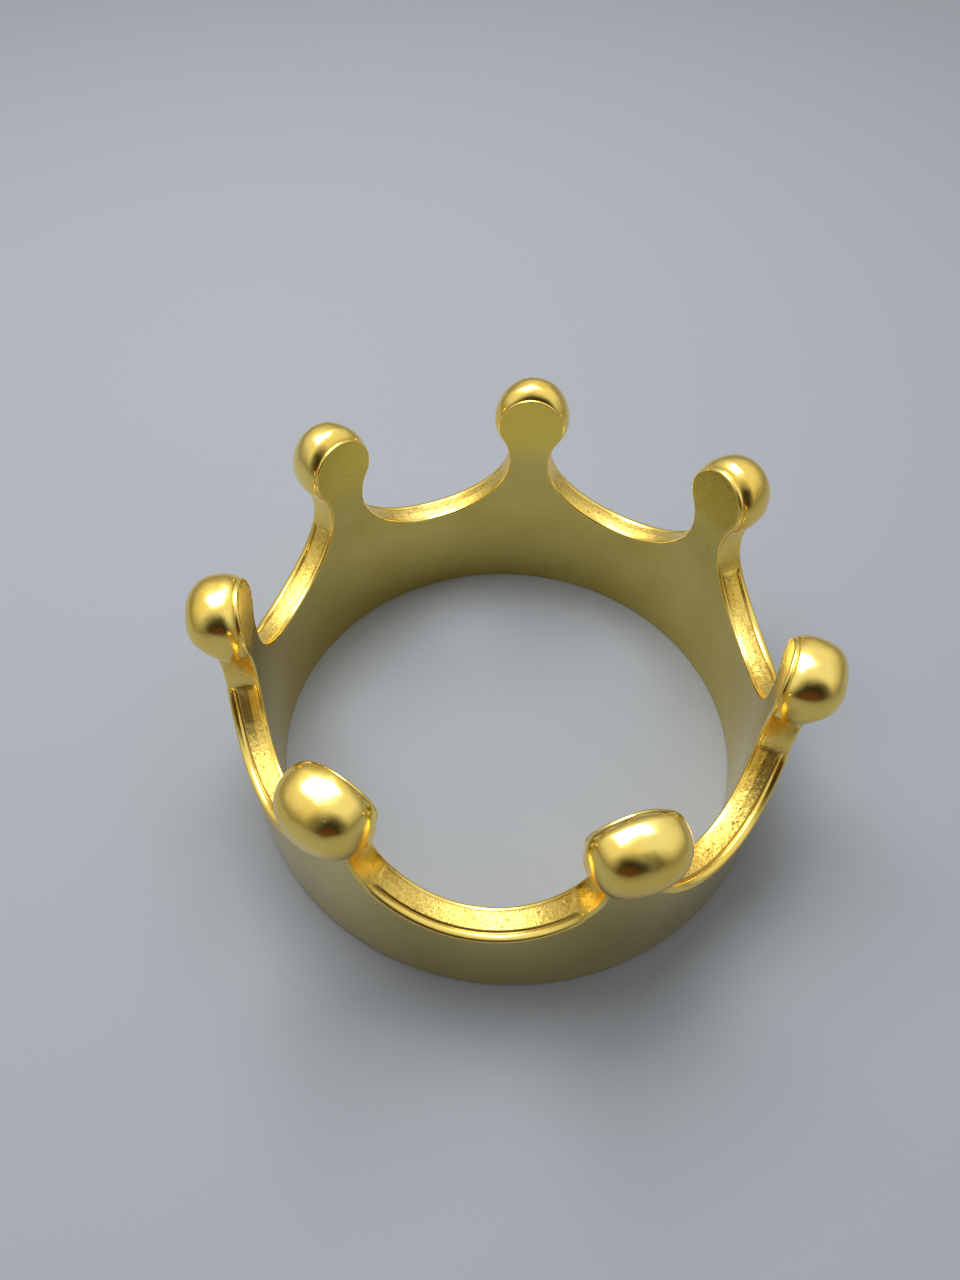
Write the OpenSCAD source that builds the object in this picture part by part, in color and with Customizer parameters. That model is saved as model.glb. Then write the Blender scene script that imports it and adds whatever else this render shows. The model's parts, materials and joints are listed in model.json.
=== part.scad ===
// Crown ring: a plain round band whose upper edge is scalloped into seven spikes.
// Every spike narrows to a neck, opens again into a thin round plate and carries
// a half ball on the outside of that plate.

/* [Band] */
// Inside diameter of the band, mm
bore_d = 18; // [18:0.25:20]
// Wall thickness of the band and the spikes, mm
wall = 1.1; // [0.9:0.05:1.3]
// Height of the full round of wall, up to the lowest point of a scallop, mm
wall_h = 4.2; // [3.6:0.1:4.4]
// Height of the bore's straight wall; the spikes open out very slightly above it, mm
bore_h = 4; // [3:0.5:4]
// Small chamfer along the outer lower edge of the band, mm
foot_chamfer = 0.12; // [0.08:0.04:0.2]

/* [Spikes] */
// Overall height of the crown, up to the top of the balls, mm
crown_h = 10.1; // [9.9:0.1:11]
// Width of a spike at its narrowest, inside face, mm
neck_w = 1.6; // [1.4:0.1:1.7]
// Radius of the hollow curve on either side of a neck, mm
neck_r = 2.1; // [1.9:0.1:2.2]

/* [Balls] */
// Diameter of a ball, mm
knob_d = 2.85; // [2.7:0.05:3]
// Thickness of the plate behind a ball, mm
plate_t = 0.4; // [0.3:0.05:0.5]
// Distance of a ball's centre outside the bore, mm
knob_out = 0.5; // [0.45:0.05:0.6]

/* [Hidden] */
$fn = 48;
spikes = 7;
// Hand-set lean of each spike round the ring, degrees
lean = [1.4, 0.8, -0.4, 0.3, -2.4, -0.6, 0.9];
// Outward slope of the spikes' inside faces, mm for each mm of height.
flare = 0.01;
// Amounts that cutters run past what they cut, mm.
past_in = 1.5;
past_out = 1.5;
over = 1;
// Clearance that keeps the neck curves off the edge of the plates, mm.
gap = 0.01;
// Overlap of a neck and its plate, mm.
lap = 0.1;
gold = [0.83, 0.66, 0.24];
r_in = bore_d / 2;
r_out = r_in + wall;
seat_r = r_in + plate_t;
knob_r = knob_d / 2;
ball_r = r_in + knob_out;
ball_z = crown_h - knob_r;

// The plate is as wide as the ball is where it leaves the wall.
plate_r = sqrt(pow(knob_r, 2) - pow(r_out - ball_r, 2));

// The hollow curve beside a neck lies at this angle from the middle of its spike.
neck_az = asin(neck_w / 2 / r_in) + asin(neck_r / r_in);
neck_x = r_in * neck_az * PI / 180;
span = plate_r + neck_r + gap;
neck_z = ball_z - sqrt(pow(span, 2) - pow(neck_x, 2));
drop = neck_z - wall_h;
// Height at which a neck runs into its plate.
join_z = ball_z - plate_r * (ball_z - neck_z) / span - lap;

// Azimuth of spike i, clockwise seen from above; spike 0 stands near +Y.
function spike_az(i) = 90 - 360 * i / spikes + lean[i % spikes];
// Scallop i lies between spike i and spike i + 1.
function scallop_az(i) = (spike_az(i) + spike_az(i + 1)) / 2;
function scallop_w(i) = ((spike_az(i) - spike_az(i + 1)) / 2 - neck_az) * PI / 180 * r_in;
// Radius of the long curve of scallop i, running into the neck curves at both ends.
function scallop_r(i) = (pow(scallop_w(i), 2) + pow(drop, 2) - pow(neck_r, 2)) / 2 / (drop - neck_r);

// Puts a flat outline upright, facing outwards at azimuth az, and carries it out through the wall.
module outwards(az) {
    rotate([0, 0, az])
        translate([r_in - past_in, 0, 0])
            rotate([90, 0, 90])
                linear_extrude(height = past_in + wall + past_out)
                    children();
}

// The round of wall the spikes are cut from: chamfered below, thinned towards the plates.
module blank() {
    rotate_extrude($fn = 96)
        polygon([
            [r_in, 0],
            [r_out - foot_chamfer, 0],
            [r_out, foot_chamfer],
            [r_out, ball_z - knob_r],
            [seat_r, join_z],
            [r_in, join_z]
        ]);
}

// A round shaft through the whole height of the crown.
module shaft(r) {
    translate([0, 0, -over])
        cylinder(r = r, h = crown_h + 2 * over, $fn = 96);
}

// The cone that opens the spikes out above the bore's straight wall.
module opening_cone() {
    translate([0, 0, bore_h - over])
        cylinder(
            r1 = r_in - flare * over,
            r2 = r_in + flare * (crown_h - bore_h + over),
            h = crown_h - bore_h + 2 * over,
            $fn = 96
        );
}

// The thin round plates behind the balls.
module plates() {
    intersection() {
        difference() {
            shaft(seat_r);
            shaft(r_in);
        }
        union() {
            for (i = [0 : spikes - 1])
                outwards(spike_az(i))
                    translate([0, ball_z])
                        circle(r = plate_r);
        }
    }
}

// The hollow curves on both sides of every neck.
module neck_cuts() {
    for (i = [0 : spikes - 1])
        for (side = [-1, 1])
            outwards(spike_az(i) + side * neck_az)
                translate([0, neck_z])
                    circle(r = neck_r);
}

// The long curve along the bottom of scallop i, a slice of a circle.
module scallop_cut(i) {
    r = scallop_r(i);
    k = r / (r - neck_r);
    x = k * scallop_w(i);
    z = k * (r - drop);
    outwards(scallop_az(i))
        translate([0, wall_h + r])
            intersection() {
                circle(r = r, $fn = 96);
                polygon([[0, 0], [-2 * x, -2 * z], [2 * x, -2 * z]]);
            }
}

// Half ball i: its back is cut to the curve of the plate it sits on.
module half_ball(i) {
    difference() {
        rotate([0, 0, spike_az(i)])
            translate([ball_r, 0, ball_z])
                rotate([0, 90, 0])
                    sphere(r = knob_r);
        shaft(seat_r);
    }
}

module band() {
    color(gold)
        difference() {
            union() {
                difference() {
                    blank();
                    neck_cuts();
                    for (i = [0 : spikes - 1])
                        scallop_cut(i);
                    for (i = [0 : spikes - 1])
                        half_ball(i);
                }
                plates();
            }
            opening_cone();
        }
}

module knob_1() {
    color(gold)
        half_ball(0);
}

module knob_2() {
    color(gold)
        half_ball(1);
}

module knob_3() {
    color(gold)
        half_ball(2);
}

module knob_4() {
    color(gold)
        half_ball(3);
}

module knob_5() {
    color(gold)
        half_ball(4);
}

module knob_6() {
    color(gold)
        half_ball(5);
}

module knob_7() {
    color(gold)
        half_ball(6);
}

band();
knob_1();
knob_2();
knob_3();
knob_4();
knob_5();
knob_6();
knob_7();
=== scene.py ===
"""Looks of the crown ring: a cast and gold-plated band with seven plates that carry polished domes."""

import json
import math
from collections import namedtuple

import bmesh
import bpy
import numpy as np
from mathutils import Matrix, Vector, noise
from mathutils.geometry import delaunay_2d_cdt


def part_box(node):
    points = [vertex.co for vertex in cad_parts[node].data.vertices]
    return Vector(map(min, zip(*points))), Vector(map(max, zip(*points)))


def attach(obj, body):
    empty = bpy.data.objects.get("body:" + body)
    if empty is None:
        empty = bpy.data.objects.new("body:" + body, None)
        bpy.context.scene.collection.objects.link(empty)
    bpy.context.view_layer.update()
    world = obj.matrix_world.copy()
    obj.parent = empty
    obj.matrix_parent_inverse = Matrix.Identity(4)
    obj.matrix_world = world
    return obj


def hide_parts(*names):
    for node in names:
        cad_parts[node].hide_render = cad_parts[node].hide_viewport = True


MM = 0.001
SPIKES = 7

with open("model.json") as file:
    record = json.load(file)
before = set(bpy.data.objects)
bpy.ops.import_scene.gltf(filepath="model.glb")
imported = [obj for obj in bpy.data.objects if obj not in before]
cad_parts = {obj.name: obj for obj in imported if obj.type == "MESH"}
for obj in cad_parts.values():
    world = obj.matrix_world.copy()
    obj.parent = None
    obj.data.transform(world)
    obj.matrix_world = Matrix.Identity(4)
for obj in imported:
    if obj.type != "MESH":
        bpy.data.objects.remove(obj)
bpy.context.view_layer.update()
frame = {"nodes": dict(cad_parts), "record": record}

# ---------------------------------------------------------------- sizes, in mm
bore = [m for m in frame["record"]["mounts"] if m["name"] == "bore"][0]
KNOBS = ["knob_%d" % n for n in range(1, SPIKES + 1)]
knob_low, knob_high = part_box(KNOBS[0])
R_IN = bore["dims"]["r_mm"]
R_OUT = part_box("band")[1].x / MM
WALL = R_OUT - R_IN
BALL_Z = (knob_low.z + knob_high.z) / 2 / MM
BALL_R = (knob_high.z - knob_low.z) / 2 / MM
BALL_OUT = 0.5
PLATE_R = math.sqrt(BALL_R ** 2 - (WALL - BALL_OUT) ** 2)
PLATE_TOP = BALL_Z + PLATE_R
CLEARANCE = 0.01
NECK_CURVE = 2.1
NECK_R = NECK_CURVE + CLEARANCE
NECK_HALF = 0.8
SCALLOP_Z = 4.2
FOOT_OUT = 0.12
FOOT_IN = 0.06
NECK_X = (math.asin(NECK_HALF / R_IN) + math.asin(NECK_CURVE / R_IN)) * R_IN
NECK_Z = BALL_Z - math.sqrt((PLATE_R + NECK_R) ** 2 - NECK_X ** 2)
ROUND = 2 * math.pi * R_IN
# Spacing of the points along the outline.
STEP = 0.038

# The seven heads were finished by hand and differ a little. In mm:
#   plate: how thick the plate shows; drop: how far its top is lowered;
#   over: how far the dome stands over the plate's top;
#   wide, tall, low: the dome's half width, and its height above and below its middle;
#   out: the dome's outermost distance from the inside wall.
# And: square, the exponent of its outline (2 is round); straight, how much straighter its outside runs
# down to the neck; tail_from, where that run starts, in degrees above the neck.
Head = namedtuple("Head", "plate drop over wide out tall low square straight tail_from")
HEADS = [
    Head(0.11, 0.00, 0.00, 1.50, 1.92, 1.62, 1.40, 2.0, 0.00, 38),
    Head(0.20, 0.00, 0.00, 1.43, 1.97, 1.50, 1.40, 2.0, 0.00, 38),
    Head(0.15, 0.06, 0.06, 1.40, 1.92, 1.38, 1.44, 2.3, 0.30, 54),
    Head(0.13, 0.28, 0.10, 1.52, 1.90, 1.36, 1.38, 2.6, 0.00, 38),
    Head(0.13, 0.12, 0.14, 1.50, 1.95, 1.42, 1.42, 2.6, 0.00, 38),
    Head(0.15, 0.00, 0.00, 1.42, 1.90, 1.42, 1.52, 2.3, 0.35, 58),
    Head(0.12, 0.00, 0.00, 1.45, 1.95, 1.58, 1.40, 2.0, 0.00, 38),
]
PLATES = np.array([head.plate for head in HEADS])
# Coarseness of the cast grain in each scallop.
COARSE = np.array([1.0, 1.15, 1.7, 1.0, 0.9, 0.8, 0.9])
# Heads whose inside face was left grainy, counted from 0.
GRAINY_HEADS = (1, 5)


def azimuth_of(node):
    middle = np.array([v.co for v in frame["nodes"][node].data.vertices]).mean(axis=0)
    return math.atan2(middle[1], middle[0])


def smooth(low, high, value):
    """Rises smoothly from 0 at low to 1 at high."""
    t = np.clip((np.asarray(value, float) - low) / (high - low), 0, 1)
    return t * t * (3 - 2 * t)


# Spikes stand clockwise round the ring. x runs clockwise along the inside wall from the first spike.
first = azimuth_of(KNOBS[0])
spike_x = [((first - azimuth_of(k)) % (2 * math.pi)) * R_IN for k in KNOBS]
spike_x[0] = 0.0
spike_x.append(ROUND)


def from_nearest(x, centres):
    """Signed distance along x to the nearest of the centres, and which one it is."""
    d = np.asarray(x, float)[..., None] - np.array(centres)
    d = (d + ROUND / 2) % ROUND - ROUND / 2
    k = np.abs(d).argmin(-1)
    return np.take_along_axis(d, k[..., None], -1)[..., 0], k


# ---------------------------------------------------------------- outline of the spikes and scallops
def arc(cx, cz, r, start, end, out):
    """Points along an arc, its last one left out: x, z and the direction out of the metal."""
    n = max(2, int(round(abs(end - start) * r / STEP)))
    a = start + (end - start) * np.arange(n) / n
    return np.stack([cx + r * np.cos(a), cz + r * np.sin(a), out * np.cos(a), out * np.sin(a)], 1)


def plate_arc(number, x, start, end):
    """Part of a plate's edge, its top lowered a little."""
    points = arc(x, BALL_Z, PLATE_R, start, end, 1)
    points[:, 1] -= HEADS[number].drop * smooth(BALL_Z - 0.4, PLATE_TOP, points[:, 1])
    return points


def outline():
    """The whole upper edge from the top of the first plate round to it again, and the scallops' middles."""
    points, middles = [], []
    drop = NECK_Z - SCALLOP_Z
    touch = math.atan2(NECK_Z - BALL_Z, NECK_X)
    for i in range(SPIKES):
        x0, x1 = spike_x[i], spike_x[i + 1]
        half = (x1 - x0) / 2
        w = half - NECK_X
        r = (w * w + drop * drop - NECK_R ** 2) / 2 / (drop - NECK_R)
        xm, zm = x0 + half, SCALLOP_Z + r
        low = math.atan2(NECK_Z - zm, -w) % (2 * math.pi)
        points += [
            plate_arc(i, x0, math.pi / 2, touch),
            arc(x0 + NECK_X, NECK_Z, NECK_R, math.pi + touch, low, -1),
            arc(xm, zm, r, low, 3 * math.pi - low, -1),
            arc(x1 - NECK_X, NECK_Z, NECK_R, math.pi - low, -touch, -1),
            plate_arc((i + 1) % SPIKES, x1, math.pi - touch, math.pi / 2),
        ]
        middles.append(xm)
    return np.concatenate(points), middles


edge, scallop_x = outline()
EX, EZ, NX, NZ = edge.T
COUNT = len(edge)


# Pairs of where a change starts and where it is complete. By distance from a ball's middle: where the wall
# thins beside a head, and where it is thick again round the hollow behind a dome. By degrees from straight
# down: where the neck keeps its thickness.
BESIDE_HEAD, ROUND_HOLLOW, ON_NECK = (1.8, 1.38), (0.8, 1.15), (54, 30)


def thickness(x, z):
    """Distance of the outside surface from the inside wall: the full wall, thinned to a plate behind each
    dome and at the corners of its neck."""
    dx, nearest = from_nearest(x, spike_x[:SPIKES])
    dz = z - BALL_Z
    rho = np.hypot(dx, dz)
    from_down = np.degrees(np.arctan2(np.abs(dx), -dz))
    full = 1 - smooth(*BESIDE_HEAD, rho) * (1 - smooth(*ON_NECK, from_down))
    return PLATES[nearest] + (WALL - PLATES[nearest]) * full * smooth(*ROUND_HOLLOW, rho)


def place(x, z, h):
    """Unrolled coordinates to a point in the frame, in metres."""
    a = first - np.asarray(x) / R_IN
    r = R_IN + np.asarray(h)
    return np.stack([r * np.cos(a), r * np.sin(a), np.asarray(z) + 0 * a], -1) * MM


# ---------------------------------------------------------------- the rim, a strip across the wall's top
# Rows of points across the rim: round the inner edge, over the cast face, and round the outer lip.
N_IN, N_FACE, N_OUT = 6, 26, 9
WIDE = N_IN + N_FACE + N_OUT
# Radii of the inner and the outer edge, and how they change on a scallop or on a plate.
EDGE_ROUND = 0.085
LIP_ROUND, LIP_ON_SCALLOP, LIP_ON_PLATE = 0.10, 0.11, -0.065
# Where ridge, crease and groove lie, as a share of the way across the cast face, and their sizes in mm.
RIDGE_AT, RIDGE_HEIGHT = 0.46, 0.05
CREASE_AT, CREASE_WIDTH, CREASE_DEPTH = 0.945, 0.04, 0.07
GROOVE_AT, GROOVE_WIDTH, GROOVE_DEPTH = 0.05, 0.05, 0.012
LIP_HEIGHT = 0.07
# Where the lip starts and is complete, by distance from the middle of its scallop and by height, and where the
# plates do, by height.
LIP_SIDES, LIP_TOP, PLATES_FROM = (3.0, 2.85), (6.45, 6.1), (7.75, 8.15)

mid_d, mid_k = from_nearest(EX, scallop_x)
on_scallop = smooth(*LIP_SIDES, np.abs(mid_d)) * smooth(*LIP_TOP, EZ)
on_plate = smooth(*PLATES_FROM, EZ)
_, head = from_nearest(EX, spike_x[:SPIKES])
ROUND_IN = EDGE_ROUND + (PLATES[head] * 0.5 - EDGE_ROUND) * on_plate
ROUND_OUT = LIP_ROUND + LIP_ON_SCALLOP * on_scallop + LIP_ON_PLATE * on_plate
THICK = thickness(EX - NX * ROUND_OUT, EZ - NZ * ROUND_OUT)

rows_o, rows_h, rows_f = [], [], []
for a in np.linspace(0, math.pi / 2, N_IN, endpoint=False):
    rows_o.append(-ROUND_IN * (1 - math.sin(a)))
    rows_h.append(ROUND_IN * (1 - math.cos(a)))
    rows_f.append(0 * EX)
for t in np.linspace(0, 1, N_FACE, endpoint=False):
    rows_o.append(0 * EX)
    rows_h.append(ROUND_IN + (THICK - ROUND_OUT - ROUND_IN) * t)
    rows_f.append(t + 0 * EX)
for a in np.linspace(0, math.pi / 2, N_OUT):
    rows_o.append(-ROUND_OUT * (1 - math.cos(a)))
    rows_h.append(THICK - ROUND_OUT * (1 - math.sin(a)))
    rows_f.append(1 + 0 * EX)
# Offset out of the metal, distance from the inside wall, and share of the way across the cast face.
RIM_O, RIM_H, FACE = np.array(rows_o).T, np.array(rows_h).T, np.array(rows_f).T

# Two shallow facets meet in a ridge, and a crease parts the rough face from the polished outer lip.
lip = on_scallop[:, None]
within = (FACE > 0) * (FACE < 1)
ridge = RIDGE_HEIGHT * (1 - np.abs(FACE - RIDGE_AT) / (1 - RIDGE_AT)) * within
crease = np.exp(-((FACE - CREASE_AT) / CREASE_WIDTH) ** 2) * within * lip
groove = np.exp(-((FACE - GROOVE_AT) / GROOVE_WIDTH) ** 2) * (FACE > 0) * lip
full_wall = smooth(0.7, 1.0, THICK)[:, None]
RIM_O = RIM_O + ridge * (0.35 + 0.65 * lip) * full_wall - CREASE_DEPTH * crease - GROOVE_DEPTH * groove
swell = np.zeros(WIDE)
swell[-N_OUT:] = np.sin(np.linspace(0, math.pi, N_OUT))
RIM_H = RIM_H + LIP_HEIGHT * swell * lip

# Cast grain: every scallop is a little different, coarse on one and finer on another.
GRAIN_PER_MM = 11.0
NECK_GRAIN = 0.25
# Heights of the two sizes of grain and depth of the pits, in mm, and how much of the noise makes no pit.
GRAIN_HEIGHT, FINE_HEIGHT, PIT_DEPTH, NO_PIT = 0.012, 0.010, 0.05, 0.12
open_face = smooth(0.04, 0.16, FACE) * smooth(0.95, 0.82, FACE)
grain_mask = open_face * (on_scallop * (0.55 + 0.45 * smooth(2.4, 0.6, np.abs(mid_d))))[:, None]
off_scallop = smooth(0.9, 0.98, 1 - on_plate) * (1 - on_scallop)
neck_mask = open_face * off_scallop[:, None] * full_wall * NECK_GRAIN
mask = np.maximum(grain_mask, neck_mask)
# Painted shade: the crease, and below it the pits of the grain, are marked for the material to darken towards
# brown.
pit_and_crease_shade = 0.9 * crease
cast = np.where(mask > 0.001, mask, 0.0)
for j, c in zip(*np.nonzero(cast)):
    coarse = COARSE[mid_k[j]]
    p = Vector((EX[j], EZ[j] * 1.2, RIM_H[j, c] * 1.1)) * (GRAIN_PER_MM / coarse)
    grain = noise.noise(p)
    fine = noise.noise(p * 2.3 + Vector((7.1, 3.3, 1.7)))
    wide = noise.noise(p * 0.45 + Vector((2.2, 9.1, 4.4)))
    pit_and_shade = max(0.0, fine * 0.7 + grain * 0.5 - NO_PIT + 0.35 * wide)
    pit_and_crease_shade[j, c] = max(pit_and_crease_shade[j, c], cast[j, c] * min(1.0, pit_and_shade * 2.2))
    RIM_O[j, c] += cast[j, c] * coarse * (GRAIN_HEIGHT * grain + FINE_HEIGHT * fine - PIT_DEPTH * pit_and_shade)

RIM_X = EX[:, None] + NX[:, None] * RIM_O
RIM_Z = EZ[:, None] + NZ[:, None] * RIM_O

# ---------------------------------------------------------------- the band's whole skin
WALL_SLOT, RIM_SLOT = 0, 1
# Points round the lower edge, spacing of the points that carry the walls, and how far they stay clear of the
# walls' edges, of the base, and of the top of the seam.
BASE = 420
GRID_X, GRID_Z = 0.2, 0.19
SEAM_STEP = 0.22
GRID_CLEAR, BASE_CLEAR, SEAM_CLEAR = 0.11, 0.15, 0.1
# Share of the brighter gold that takes over from the walls' painted dark reflection at the heads, and the
# heights between which it rises.
HEAD_TONE, TONE_RISE = 0.65, (6.6, 8.4)
# The same for the grain on the inside faces that were left grainy.
HEAD_GRAIN, GRAIN_RISE = 0.5, (7.2, 7.9)

verts, normals, cast_of, pit_shade_of, tone_of, faces, slots = [], {}, [], [], [], [], []


def add(x, z, h, grain=0.0, pit_and_shade=0.0):
    verts.append(tuple(place(x, z, h)))
    cast_of.append(grain)
    pit_shade_of.append(pit_and_shade)
    tone_of.append(HEAD_TONE * float(smooth(*TONE_RISE, z)))
    return len(verts) - 1


def wall_normal(x, z, outside):
    """Exact direction of the inside or the outside wall, so that reflections run clean across it."""
    a = first - x / R_IN
    radial = Vector((math.cos(a), math.sin(a), 0))
    if not outside:
        return -radial
    d = 0.01
    along = Vector((math.sin(a), -math.cos(a), 0))
    sx = float(thickness(x + d, z) - thickness(x - d, z)) / (2 * d) * R_IN / R_OUT
    sz = float(thickness(x, z + d) - thickness(x, z - d)) / (2 * d)
    return (radial - along * sx - Vector((0, 0, 1)) * sz).normalized()


def strip(lower, upper, slot):
    """Quads between two closed or open rows of points of the same length."""
    for (a, b), (c, d) in zip(zip(lower, lower[1:]), zip(upper, upper[1:])):
        faces.append((a, b, d, c))
        slots.append(slot)


rim = [
    [add(RIM_X[j, c], RIM_Z[j, c], RIM_H[j, c], cast[j, c], pit_and_crease_shade[j, c]) for c in range(WIDE)]
    for j in range(COUNT)
]
for across, after in zip(rim, rim[1:] + rim[:1]):
    strip(across, after, RIM_SLOT)

base_x = np.arange(BASE) * ROUND / BASE


def ring(z, h):
    return [add(x, z, h) for x in base_x]


base_rings = [ring(FOOT_IN * (1 - math.sin(a)), FOOT_IN * (1 - math.cos(a)))
              for a in np.linspace(0, math.pi / 2, 5)]
base_rings += [ring(0, FOOT_IN + (WALL - FOOT_OUT - FOOT_IN) * t) for t in (0.33, 0.66)]
base_rings += [ring(FOOT_OUT * (1 - math.cos(a)), WALL - FOOT_OUT * (1 - math.sin(a)))
               for a in np.linspace(0, math.pi / 2, 6)]
for inner, outer in zip(base_rings, base_rings[1:]):
    strip(inner + inner[:1], outer + outer[:1], WALL_SLOT)


def inside(px, pz, loop):
    """Even-odd test of many points against a closed loop."""
    hit = np.zeros(len(px), bool)
    for (x0, z0), (x1, z1) in zip(loop, np.roll(loop, -1, axis=0)):
        if z0 == z1:
            continue
        across = (pz >= min(z0, z1)) & (pz < max(z0, z1))
        hit ^= across & (px < x0 + (pz - z0) / (z1 - z0) * (x1 - x0))
    return hit


def clear_of(px, pz, loop):
    """Which points keep their distance from a loop's own points."""
    clear = np.ones(len(px), bool)
    batch = 500
    for k in range(0, len(px), batch):
        d = np.hypot(px[k:k + batch, None] - loop[None, :, 0], pz[k:k + batch, None] - loop[None, :, 1])
        clear[k:k + batch] = d.min(1) > GRID_CLEAR
    return clear


def grid_inside(loop, base_z):
    """Evenly spread points inside a loop, every other row shifted by half a step."""
    rows = np.arange(base_z + BASE_CLEAR, PLATE_TOP, GRID_Z)
    gx, gz = np.meshgrid(np.arange(GRID_X / 2, ROUND, GRID_X), rows)
    gx = (gx + GRID_X / 2 * (np.arange(gx.shape[0])[:, None] % 2)).ravel()
    gz = gz.ravel()
    keep = inside(gx, gz, loop)
    gx, gz = gx[keep], gz[keep]
    keep = clear_of(gx, gz, loop)
    return gx[keep], gz[keep]


def fill(column, base_ring, base_z, outside):
    """Triangulates one wall between its base ring and its end of the rim, unrolled flat."""
    top = [(RIM_X[j, column], RIM_Z[j, column], rim[j][column]) for j in range(COUNT)]
    seam_z = np.arange(base_z + SEAM_STEP, top[0][1] - SEAM_CLEAR, SEAM_STEP)
    seam = [(0.0, z, add(0.0, z, thickness(0.0, z) if outside else 0.0)) for z in seam_z]
    loop = top + [(ROUND, top[0][1], top[0][2])]
    loop += [(ROUND, z, v) for _, z, v in reversed(seam)]
    loop += [(ROUND, base_z, base_ring[0])]
    loop += [(base_x[j], base_z, base_ring[j]) for j in reversed(range(BASE))]
    loop += seam
    flat = np.array([(x, z) for x, z, _ in loop])
    gx, gz = grid_inside(flat, base_z)
    heights = thickness(gx, gz) if outside else 0 * gx
    _, near_head = from_nearest(gx, spike_x[:SPIKES])
    grainy = smooth(*GRAIN_RISE, gz) * np.isin(near_head, GRAINY_HEADS) * (0 if outside else HEAD_GRAIN)
    ids = [v for _, _, v in loop] + [add(x, z, h, g) for x, z, h, g in zip(gx, gz, heights, grainy)]
    points = [Vector(p) for p in flat] + [Vector((x, z)) for x, z in zip(gx, gz)]
    _, _, triangles, origins, *_ = delaunay_2d_cdt(points, [], [list(range(len(loop)))], 1, 1e-7)
    for triangle in triangles:
        face = tuple(ids[origins[v][0]] for v in triangle)
        if len(set(face)) == 3:
            faces.append(face)
            slots.append(WALL_SLOT)
    for v, (x, z) in zip(ids, points):
        normals[v] = wall_normal(x, z, outside)


fill(0, base_rings[0], FOOT_IN, False)
fill(WIDE - 1, base_rings[-1], FOOT_OUT, True)


# ---------------------------------------------------------------- materials
def node(tree, kind, **values):
    """A shader node; each value is one of its inputs, or else one of its settings."""
    made = tree.nodes.new(kind)
    for key, value in values.items():
        if key in made.inputs:
            made.inputs[key].default_value = value
        else:
            setattr(made, key, value)
    return made


def wire(tree, value, socket):
    """Gives an input its value: a link if it comes from another node, or else a fixed number or colour."""
    if isinstance(value, bpy.types.NodeSocket):
        tree.links.new(value, socket)
    elif isinstance(value, tuple):
        socket.default_value = (*value, 1)
    else:
        socket.default_value = value


def texture(tree, kind, where, **values):
    made = node(tree, kind, **values)
    tree.links.new(where, made.inputs["Vector"])
    return made


def maths(tree, operation, *values, clamp=False):
    made = node(tree, "ShaderNodeMath", operation=operation, use_clamp=clamp)
    for socket, value in zip(made.inputs, values):
        wire(tree, value, socket)
    return made.outputs["Value"]


def ranged(tree, value, low, high, to_low=0.0, to_high=1.0):
    """A value between low and high, carried over to another range."""
    made = node(tree, "ShaderNodeMapRange")
    for name, number in (("From Min", low), ("From Max", high), ("To Min", to_low), ("To Max", to_high)):
        made.inputs[name].default_value = number
    tree.links.new(value, made.inputs["Value"])
    return made.outputs["Result"]


def mixed(tree, share, first, second):
    made = node(tree, "ShaderNodeMix", data_type="RGBA")
    wire(tree, first, made.inputs["A"])
    wire(tree, second, made.inputs["B"])
    tree.links.new(share, made.inputs["Factor"])
    return made.outputs["Result"]


def from_mesh(tree, name):
    return node(tree, "ShaderNodeAttribute", attribute_name=name).outputs["Fac"]


# Brown of the grain's dark specks and of the shade painted into the pits and the crease.
SPECK_AND_SHADE_BROWN = (0.40, 0.17, 0.02)
# Height that a bump of full strength stands for, in metres.
RELIEF = 0.00002


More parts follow.
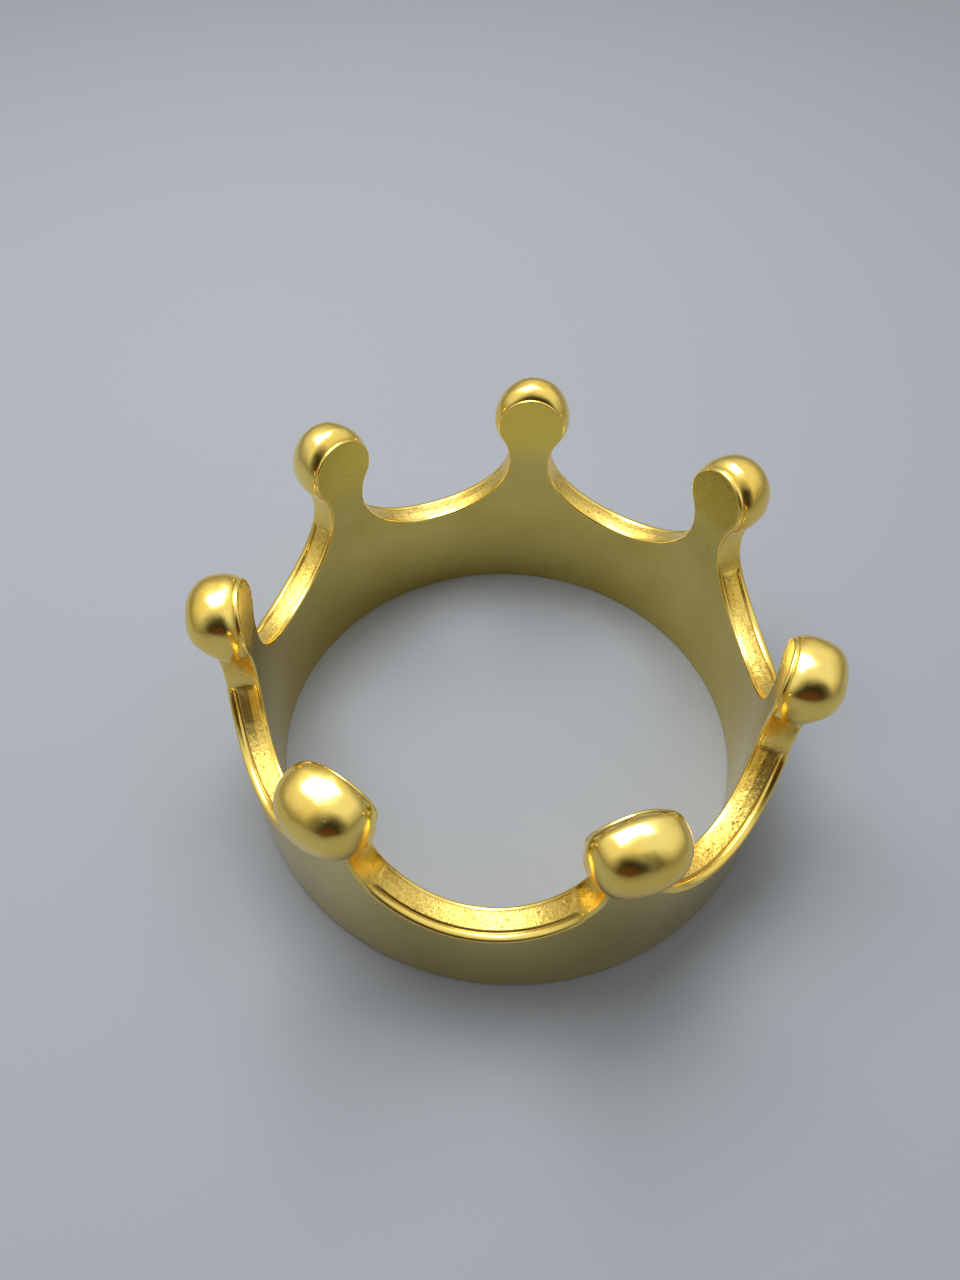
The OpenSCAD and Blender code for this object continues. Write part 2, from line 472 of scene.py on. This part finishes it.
def gold(name, colour, deep, towards, rough, spread, bump, with_cast=False):
    """Plated gold: slow changes of tone, cloudy roughness, fine polishing lines and specks. Its colour
    runs over into another where the mesh says so, and a cast surface is grainy, pitted and rougher,
    with painted shade darkening its pits and crease towards brown."""
    material = bpy.data.materials.new(name)
    material.use_nodes = True
    tree = material.node_tree
    tree.nodes.clear()
    out = node(tree, "ShaderNodeOutputMaterial")
    shader = node(tree, "ShaderNodeBsdfPrincipled", Metallic=1.0)
    tree.links.new(shader.outputs["BSDF"], out.inputs["Surface"])

    where = node(tree, "ShaderNodeTexCoord").outputs["Object"]
    stretch = texture(tree, "ShaderNodeMapping", where)
    stretch.inputs["Scale"].default_value = (1.0, 1.0, 9.0)
    drawn = stretch.outputs["Vector"]
    cloud = texture(tree, "ShaderNodeTexNoise", where, Scale=420.0, Detail=4.0, Roughness=0.6).outputs["Fac"]
    fine = texture(tree, "ShaderNodeTexNoise", where, Scale=5200.0, Detail=3.0, Roughness=0.65).outputs["Fac"]
    lines = texture(tree, "ShaderNodeTexNoise", drawn, Scale=900.0, Detail=4.0, Roughness=0.7).outputs["Fac"]
    specks = texture(tree, "ShaderNodeTexVoronoi", where, Scale=1500.0).outputs["Distance"]

    plating = mixed(tree, ranged(tree, cloud, 0.35, 0.75), colour, deep)
    base = mixed(tree, from_mesh(tree, "tone"), plating, towards)

    half_lines = maths(tree, "MULTIPLY", lines, 0.5)
    clouded = maths(tree, "MULTIPLY_ADD", cloud, 0.5, half_lines)
    level = ranged(tree, clouded, 0.3, 0.7, rough - spread, rough + spread)
    speck = ranged(tree, specks, 0.05, 0.09, 1.0, 0.0)
    roughness = maths(tree, "MULTIPLY_ADD", speck, 0.25, level, clamp=True)
    height = maths(tree, "MULTIPLY_ADD", fine, 0.5, half_lines)

    if with_cast:
        grain = from_mesh(tree, "cast")
        dots = texture(tree, "ShaderNodeTexNoise", where, Scale=11000.0, Detail=2.0, Roughness=0.6)
        sand = texture(tree, "ShaderNodeTexNoise", where, Scale=15000.0, Detail=2.0, Roughness=0.7)
        # The grain's dark specks and the shade painted into pits and crease turn the colour towards brown.
        dotted = maths(tree, "MULTIPLY", ranged(tree, dots.outputs["Fac"], 0.5, 0.66, 0.0, 0.6), grain)
        dark = maths(tree, "MULTIPLY_ADD", from_mesh(tree, "pit_and_shade"), 0.8, dotted, clamp=True)
        base = mixed(tree, dark, base, SPECK_AND_SHADE_BROWN)
        roughness = maths(tree, "MULTIPLY_ADD", grain, 0.24, roughness, clamp=True)
        sandy = maths(tree, "MULTIPLY", sand.outputs["Fac"], grain)
        height = maths(tree, "MULTIPLY_ADD", sandy, 3.0, height)

    relief = node(tree, "ShaderNodeBump", Strength=bump, Distance=RELIEF)
    tree.links.new(height, relief.inputs["Height"])
    tree.links.new(base, shader.inputs["Base Color"])
    tree.links.new(roughness, shader.inputs["Roughness"])
    tree.links.new(relief.outputs["Normal"], shader.inputs["Normal"])
    return material


# The walls' gold is darker and more olive than the same plating on rim and domes: a painted dark reflection.
DARK_REFLECTION_GOLD = (0.72, 0.59, 0.17)
POLISHED = (1.0, 0.78, 0.22)
WALL_GOLD = gold("gold_dark_reflection", DARK_REFLECTION_GOLD, (0.64, 0.50, 0.12), (0.95, 0.72, 0.10), 0.19, 0.08, 0.30, True)
RIM_GOLD = gold("gold_cast", POLISHED, (0.93, 0.62, 0.09), POLISHED, 0.19, 0.07, 0.35, True)
DOME_GOLD = gold("gold_polished", POLISHED, (0.95, 0.62, 0.08), DARK_REFLECTION_GOLD, 0.19, 0.07, 0.18)


# ---------------------------------------------------------------- meshes into pieces
def give_values(mesh, name, values):
    """Stores one number a point, for the material to read."""
    mesh.attributes.new(name, "FLOAT", "POINT").data.foreach_set("value", np.array(values, np.float32))


def turned_out(mesh):
    """Turns every face of a closed mesh so that it faces out, and shades it smooth."""
    bm = bmesh.new()
    bm.from_mesh(mesh)
    bmesh.ops.recalc_face_normals(bm, faces=bm.faces)
    bm.to_mesh(mesh)
    bm.free()
    mesh.update()
    mesh.polygons.foreach_set("use_smooth", [True] * len(mesh.polygons))


def piece(name, mesh, cad_node):
    made = bpy.data.objects.new(name, mesh)
    bpy.context.scene.collection.objects.link(made)
    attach(made, "root")
    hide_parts(cad_node)


skin = bpy.data.meshes.new("band_skin")
skin.from_pydata(verts, [], faces)
skin.materials.append(WALL_GOLD)
skin.materials.append(RIM_GOLD)
skin.polygons.foreach_set("material_index", slots)
give_values(skin, "cast", cast_of)
give_values(skin, "pit_and_shade", pit_shade_of)
give_values(skin, "tone", tone_of)
turned_out(skin)
soft = [tuple(normals.get(v.index, v.normal)) for v in skin.vertices]
skin.normals_split_custom_set_from_vertices(soft)
piece("band_cast", skin, "band")

# ---------------------------------------------------------------- the domes
# Points round a dome, from its pole to its widest, and from there to its seat.
AROUND, UP, SIDE = 120, 34, 12
# How far a dome stands over the edge of its plate.
SEAT_OVER = 0.012
# Rows behind its seat, where a dome turns in: how far towards its axis and towards the inside wall.
TURNED_IN = ((0.03, 0.005), (0.12, 0.02))
# A dome is widest at this distance from the inside wall.
WIDEST = 0.62
# Exponents of a dome's side view, where 1 is a ball's and less is fuller: of its front, what its lower front
# has more, and of its side.
FULL, LOWER, SIDE_FULL = 0.82, 0.16, 0.8
# A tail takes over this many rows before a dome's widest. It leads on from the dome's front, further if it
# starts high up, then flattens out, and ends at a distance below the dome's middle, sunk into the neck.
TAIL_EARLY = 8
TAIL_LEAD, HIGH_LEAD, TAIL_FLAT = 0.36, 0.5, 0.85
TAIL_END, TAIL_SINK = 2.75, 0.06
# Degrees from straight down at which a tail starts and is complete.
TAIL_WIDTH = (36, 8)
# Height of the dents and lumps in mm, and for each size of them how many in a mm and its share.
LUMP = 0.02
LUMP_SIZES = ((1.3, 1.0), (3.1, 0.35), (6.7, 0.1))


def dome_profile(reach, out, seat, full, plate):
    """From the pole down to the seat: distance from the dome's axis and from the inside wall."""
    rows = []
    for t in np.linspace(math.pi / 2, 0, UP, endpoint=False):
        rows.append((reach * max(0.0, math.cos(t)) ** full, WIDEST + (out - WIDEST) * math.sin(t) ** full))
    for t in np.linspace(0, 1, SIDE):
        rows.append((seat + (reach - seat) * math.cos(t * math.pi / 2) ** SIDE_FULL,
                     WIDEST + (plate + SEAT_OVER - WIDEST) * t))
    rows += [(seat - inwards, plate - back) for inwards, back in TURNED_IN]
    return np.array(rows)


def tail_profile(reach, out, start):
    """The same number of rows, but ending in a hollow curve that runs out on the front of the neck."""
    rows = []
    for t in np.linspace(math.pi / 2, math.radians(start), UP - TAIL_EARLY):
        rows.append((reach * max(0.0, math.cos(t)), WIDEST + (out - WIDEST) * math.sin(t)))
    p0, before = np.array(rows[-1]), np.array(rows[-2])
    lead = (p0 - before) / np.linalg.norm(p0 - before)
    p1 = p0 + lead * (TAIL_LEAD + HIGH_LEAD * smooth(38, 58, start))
    p3 = np.array([TAIL_END, WALL - TAIL_SINK])
    p2 = p3 - np.array([TAIL_FLAT, 0.0])
    count = UP + SIDE + len(TURNED_IN) - len(rows)
    for k in range(1, count + 1):
        t = k / count
        point = (1 - t) ** 3 * p0 + 3 * (1 - t) ** 2 * t * p1 + 3 * (1 - t) * t * t * p2 + t ** 3 * p3
        rows.append(tuple(point))
    return np.array(rows)


def dome_column(head, turn):
    """The rows of a dome in one direction round its axis, and how far they belong to its tail."""
    c, z = math.cos(turn), math.sin(turn)
    height = head.tall if z > 0 else head.low
    reach = (abs(c / head.wide) ** head.square + abs(z / height) ** head.square) ** (-1 / head.square)
    seat = PLATE_R + SEAT_OVER - head.drop * float(smooth(0.2, 1.0, z))
    seat += head.over * float(smooth(0.0, 0.6, z))
    full = FULL + (LOWER + head.straight) * float(smooth(0.1, -0.8, z))
    from_down = math.degrees(math.acos(max(-1.0, min(1.0, -z))))
    share = float(smooth(*TAIL_WIDTH, from_down))
    rows = dome_profile(reach, head.out, seat, full, head.plate)
    if share > 0:
        rows = rows * (1 - share) + tail_profile(reach, head.out, head.tail_from) * share
    return rows, share


def dome_point(head, axes, rho, h, turn, share):
    """One point of a dome: bent with the plate at its seat, and slightly lumpy on its free side."""
    radial, along, upright = axes
    x, z = rho * math.cos(turn), rho * math.sin(turn)
    bend = x * x / 2 / (R_IN + h)
    sag = bend * max(0.0, 1 - (h - head.plate) / (head.out - head.plate))
    if share > 0:
        sag = sag * (1 - share) + bend * share * smooth(1.0, 1.6, rho)
    point = radial * (R_IN + h - sag) + along * x + upright * (BALL_Z + z)
    if h > head.plate + 0.05:
        at = Vector(point)
        lump = sum(share_of * noise.noise(at * per_mm) for per_mm, share_of in LUMP_SIZES)
        outwards = radial * max(0.2, h - 0.6) + along * x + upright * z
        point = point + outwards / np.linalg.norm(outwards) * LUMP * lump
    return point


def dome(name, head):
    a = azimuth_of(name)
    radial = np.array([math.cos(a), math.sin(a), 0])
    along = np.array([math.sin(a), -math.cos(a), 0])
    upright = np.array([0, 0, 1.0])
    points, tones = [], []
    for turn in np.linspace(0, 2 * math.pi, AROUND, endpoint=False):
        rows, share = dome_column(head, turn)
        for rho, h in rows[1:]:
            points.append(tuple(dome_point(head, (radial, along, upright), rho, h, turn, share) * MM))
            # The tail's colour runs over into the walls' gold with its painted dark reflection.
            tones.append(share * float(smooth(1.35, 2.0, rho)))
    pole, back = len(points), len(points) + 1
    points.append(tuple((radial * (R_IN + head.out) + upright * BALL_Z) * MM))
    points.append(tuple((radial * (R_IN + head.plate - 0.02) + upright * BALL_Z) * MM))
    tones += [0.0, 0.0]
    rings = len(rows) - 1
    sides = []
    for j in range(0, AROUND * rings, rings):
        n = (j + rings) % (AROUND * rings)
        for k in range(rings - 1):
            sides.append((j + k, n + k, n + k + 1, j + k + 1))
        sides.append((j, n, pole))
        sides.append((n + rings - 1, j + rings - 1, back))
    mesh = bpy.data.meshes.new(name + "_dome")
    mesh.from_pydata(points, [], sides)
    mesh.materials.append(DOME_GOLD)
    give_values(mesh, "tone", tones)
    turned_out(mesh)
    piece(name + "_dome", mesh, name)


for name, head in zip(KNOBS, HEADS):
    dome(name, head)

for name, cad in frame["nodes"].items():
    cad.data.materials.clear()
    cad.data.materials.append(WALL_GOLD if name == "band" else DOME_GOLD)

# ---------------------------------------------------------------- floor
FLOOR_GREY = (0.245, 0.263, 0.295, 1)
FLOOR_SIZE = 1.2
floor_material = bpy.data.materials.new("floor_pale")
floor_material.use_nodes = True
floor_shader = floor_material.node_tree.nodes["Principled BSDF"]
floor_shader.inputs["Base Color"].default_value = FLOOR_GREY
floor_shader.inputs["Roughness"].default_value = 0.7
bpy.ops.mesh.primitive_plane_add(size=FLOOR_SIZE)
floor = bpy.context.object
floor.name = "floor"
floor.data.materials.append(floor_material)

# ---------------------------------------------------------------- studio
SKY_LOW, SKY_HIGH = (0.30, 0.29, 0.27, 1), (0.88, 0.88, 0.86, 1)
# An unlit corner, low and in front of the object, and a brown card below it, near the floor.
UNLIT_TOWARDS, UNLIT_LIGHT = (0.1, -0.93, 0.36), 0.03
CARD_TOWARDS, CARD_BROWN = (0.05, -0.99, 0.1), (0.10, 0.038, 0.02)
world = bpy.data.worlds.new("studio")
bpy.context.scene.world = world
bpy.context.scene.view_settings.view_transform = "Standard"
world.use_nodes = True
sky = world.node_tree
background = sky.nodes["Background"]
background.inputs["Strength"].default_value = 1.0
looking = node(sky, "ShaderNodeTexCoord").outputs["Generated"]


def patch(direction, low, high, to_low, to_high):
    """A soft patch of the studio round one direction, from the cosine low at its edge to high inside it."""
    dot = node(sky, "ShaderNodeVectorMath", operation="DOT_PRODUCT")
    dot.inputs[1].default_value = Vector(direction).normalized()
    sky.links.new(looking, dot.inputs[0])
    share = ranged(sky, dot.outputs["Value"], low, high, to_low, to_high)
    share.node.interpolation_type = "SMOOTHSTEP"
    return share


split = node(sky, "ShaderNodeSeparateXYZ")
ramp = node(sky, "ShaderNodeValToRGB")
ramp.color_ramp.interpolation = "EASE"
bottom, top = ramp.color_ramp.elements
bottom.position, bottom.color = 0.0, SKY_LOW
top.position, top.color = 0.7, SKY_HIGH
sky.links.new(looking, split.inputs["Vector"])
sky.links.new(split.outputs["Z"], ramp.inputs["Fac"])

lit = node(sky, "ShaderNodeVectorMath", operation="SCALE")
sky.links.new(ramp.outputs["Color"], lit.inputs[0])
sky.links.new(patch(UNLIT_TOWARDS, 0.55, 0.97, 1.0, UNLIT_LIGHT), lit.inputs["Scale"])
card = patch(CARD_TOWARDS, 0.9, 0.98, 0.0, 1.0)
sky.links.new(mixed(sky, card, lit.outputs["Vector"], CARD_BROWN), background.inputs["Color"])


def softbox(name, place_mm, aim_mm, size_mm, power):
    data = bpy.data.lights.new(name, "AREA")
    data.shape = "RECTANGLE"
    data.size, data.size_y = size_mm[0] * MM, size_mm[1] * MM
    data.energy = power
    light = bpy.data.objects.new(name, data)
    bpy.context.scene.collection.objects.link(light)
    light.location = Vector(place_mm) * MM
    light.rotation_mode = "QUATERNION"
    light.rotation_quaternion = (Vector(aim_mm) - Vector(place_mm)).to_track_quat("-Z", "Y")


softbox("key", (-25, 35, 110), (0, 0, 5), (95, 70), 0.15)

# ---------------------------------------------------------------- camera
# Looking along +Y and down on the object, then turned about the frame's Z; distances in mm.
ELEVATION = math.radians(51.903)
ROLL = math.radians(0.945)
TURN = math.radians(6.101)
DISTANCE, RIGHT, UPWARD = 37.681, 1.103, 3.964
ahead = Vector((0, math.cos(ELEVATION), -math.sin(ELEVATION)))
level_right = Vector((1, 0, 0))
level_up = Vector((0, math.sin(ELEVATION), math.cos(ELEVATION)))
right = level_right * math.cos(ROLL) + level_up * math.sin(ROLL)
up = level_up * math.cos(ROLL) - level_right * math.sin(ROLL)
spot = (-DISTANCE * ahead - RIGHT * right + UPWARD * up) * MM
lens = bpy.data.cameras.new("camera")
lens.sensor_width = 36.0
lens.sensor_fit = "AUTO"
lens.lens = 25.67
lens.clip_start, lens.clip_end = 0.002, 5.0
camera = bpy.data.objects.new("camera", lens)
bpy.context.scene.collection.objects.link(camera)
axes = Matrix((right, up, -ahead)).transposed().to_4x4()
camera.matrix_world = Matrix.Rotation(TURN, 4, "Z") @ Matrix.Translation(spot) @ axes
bpy.context.scene.camera = camera
